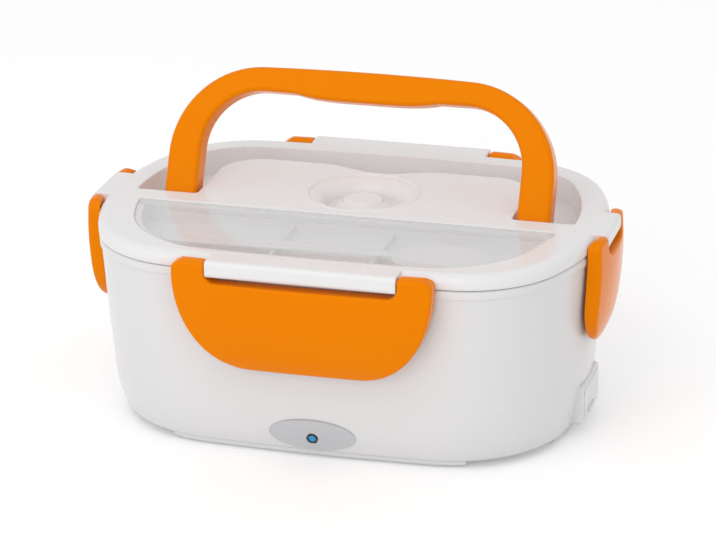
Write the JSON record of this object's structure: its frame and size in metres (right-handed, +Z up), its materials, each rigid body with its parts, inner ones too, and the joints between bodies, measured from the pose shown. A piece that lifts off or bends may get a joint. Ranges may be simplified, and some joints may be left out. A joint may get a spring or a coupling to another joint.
{
  "type": "electric lunch box",
  "caption": "Portable electric lunch box with four latches, a lift-off lid, a folding handle, a food tray, a side bowl and a spoon compartment.",
  "frame": {"origin": "on the surface that the feet stand on, below the middle of the box", "axes": "+X along the box to the power inlet, +Y to the back, +Z up"},
  "size_m": [0.241, 0.176, 0.1467],
  "materials": {
    "white_shell": "gloss moulded",
    "orange_plastic": "gloss moulded",
    "clear_plastic": "clear polished",
    "clear_silicone": "soft matt",
    "grey_rubber": "matt",
    "pan_metal": "satin drawn",
    "tray_steel": "brushed",
    "heater_case": "extruded",
    "screw_steel": "plated",
    "black_plastic": "matt",
    "fuse_sleeve": "matt",
    "wire_red": "satin",
    "board_green": "satin",
    "lamp_blue": "clear gloss",
    "panel_silver": "fine brushed",
    "pin_brass": "plated"
  },
  "bodies": {
    "base": {"outer_body": "white_shell", "base_cover": "white_shell", "rubber_feet": "grey_rubber", "base_screws": "screw_steel", "inner_pan": "pan_metal", "heating_plate": "pan_metal", "heater_block": "heater_case", "heater_clamp": "screw_steel", "clamp_screws": "screw_steel", "thermostat": "black_plastic", "thermal_fuse": "fuse_sleeve", "wiring": "wire_red", "lamp_board": "board_green", "lamp_lens": "lamp_blue", "lamp_panel": "panel_silver", "inlet_socket": "black_plastic", "inlet_pins": "pin_brass", "flap_pin": "screw_steel"},
    "flap": {"inlet_flap": "white_shell"},
    "tray": {"food_tray": "tray_steel"},
    "bowl": {"side_bowl": "white_shell"},
    "lid": {"lid_shell": "white_shell", "lid_inner": "white_shell", "lid_seal": "clear_silicone"},
    "plug": {"vent_plug": "white_shell"},
    "cover": {"spoon_cover": "clear_plastic"},
    "spoon": {"spoon": "white_shell"},
    "handle": {"handle": "orange_plastic"},
    "front_latch": {"latch_front": "orange_plastic"},
    "back_latch": {"latch_back": "orange_plastic"},
    "left_latch": {"latch_left": "orange_plastic"},
    "right_latch": {"latch_right": "orange_plastic"}
  },
  "joints": [
    {"name": "lid_lift", "type": "slide", "parent": "base", "child": "lid", "axis": [0, 0, 1], "range_m": [0, 0.09]},
    {"name": "tray_lift", "type": "slide", "parent": "base", "child": "tray", "axis": [0, 0, 1], "range_m": [0, 0.054]},
    {"name": "bowl_lift", "type": "slide", "parent": "tray", "child": "bowl", "axis": [0, 0, 1], "range_m": [0, 0.0225]},
    {"name": "front_latch_swing", "type": "hinge", "parent": "lid", "child": "front_latch", "pos_m": [0, -0.084, 0.0916], "axis": [-1, 0, 0], "range_deg": [0, 150]},
    {"name": "back_latch_swing", "type": "hinge", "parent": "lid", "child": "back_latch", "pos_m": [0, 0.084, 0.0916], "axis": [1, 0, 0], "range_deg": [0, 150]},
    {"name": "left_latch_swing", "type": "hinge", "parent": "lid", "child": "left_latch", "pos_m": [-0.1165, 0, 0.0916], "axis": [0, 1, 0], "range_deg": [0, 150]},
    {"name": "right_latch_swing", "type": "hinge", "parent": "lid", "child": "right_latch", "pos_m": [0.1165, 0, 0.0916], "axis": [0, -1, 0], "range_deg": [0, 150]},
    {"name": "handle_fold", "type": "hinge", "parent": "lid", "child": "handle", "pos_m": [0, 0.0026, 0.0875], "axis": [-1, 0, 0], "range_deg": [-25, 65]},
    {"name": "spoon_cover_swing", "type": "hinge", "parent": "lid", "child": "cover", "pos_m": [0, -0.0172, 0.0919], "axis": [-1, 0, 0], "range_deg": [0, 80]},
    {"name": "spoon_lift", "type": "slide", "parent": "lid", "child": "spoon", "axis": [0, 0, 1], "range_m": [0, 0.012]},
    {"name": "vent_plug_lift", "type": "slide", "parent": "lid", "child": "plug", "axis": [0, 0, 1], "range_m": [0, 0.005]},
    {"name": "inlet_flap_swing", "type": "hinge", "parent": "base", "child": "flap", "pos_m": [0.1071, -0.001, 0.0201], "axis": [0, -1, 0], "range_deg": [0, 100]}
  ],
  "couplings": [
    {"joint": "tray_lift", "follows": "lid_lift", "ratio": 0.6},
    {"joint": "bowl_lift", "follows": "lid_lift", "ratio": 0.25},
    {"joint": "front_latch_swing", "follows": "lid_lift", "rad_per_m": 29.089},
    {"joint": "back_latch_swing", "follows": "lid_lift", "rad_per_m": 29.089},
    {"joint": "left_latch_swing", "follows": "lid_lift", "rad_per_m": 29.089},
    {"joint": "right_latch_swing", "follows": "lid_lift", "rad_per_m": 29.089},
    {"joint": "spoon_cover_swing", "follows": "spoon_lift", "rad_per_m": 116.3}
  ]
}
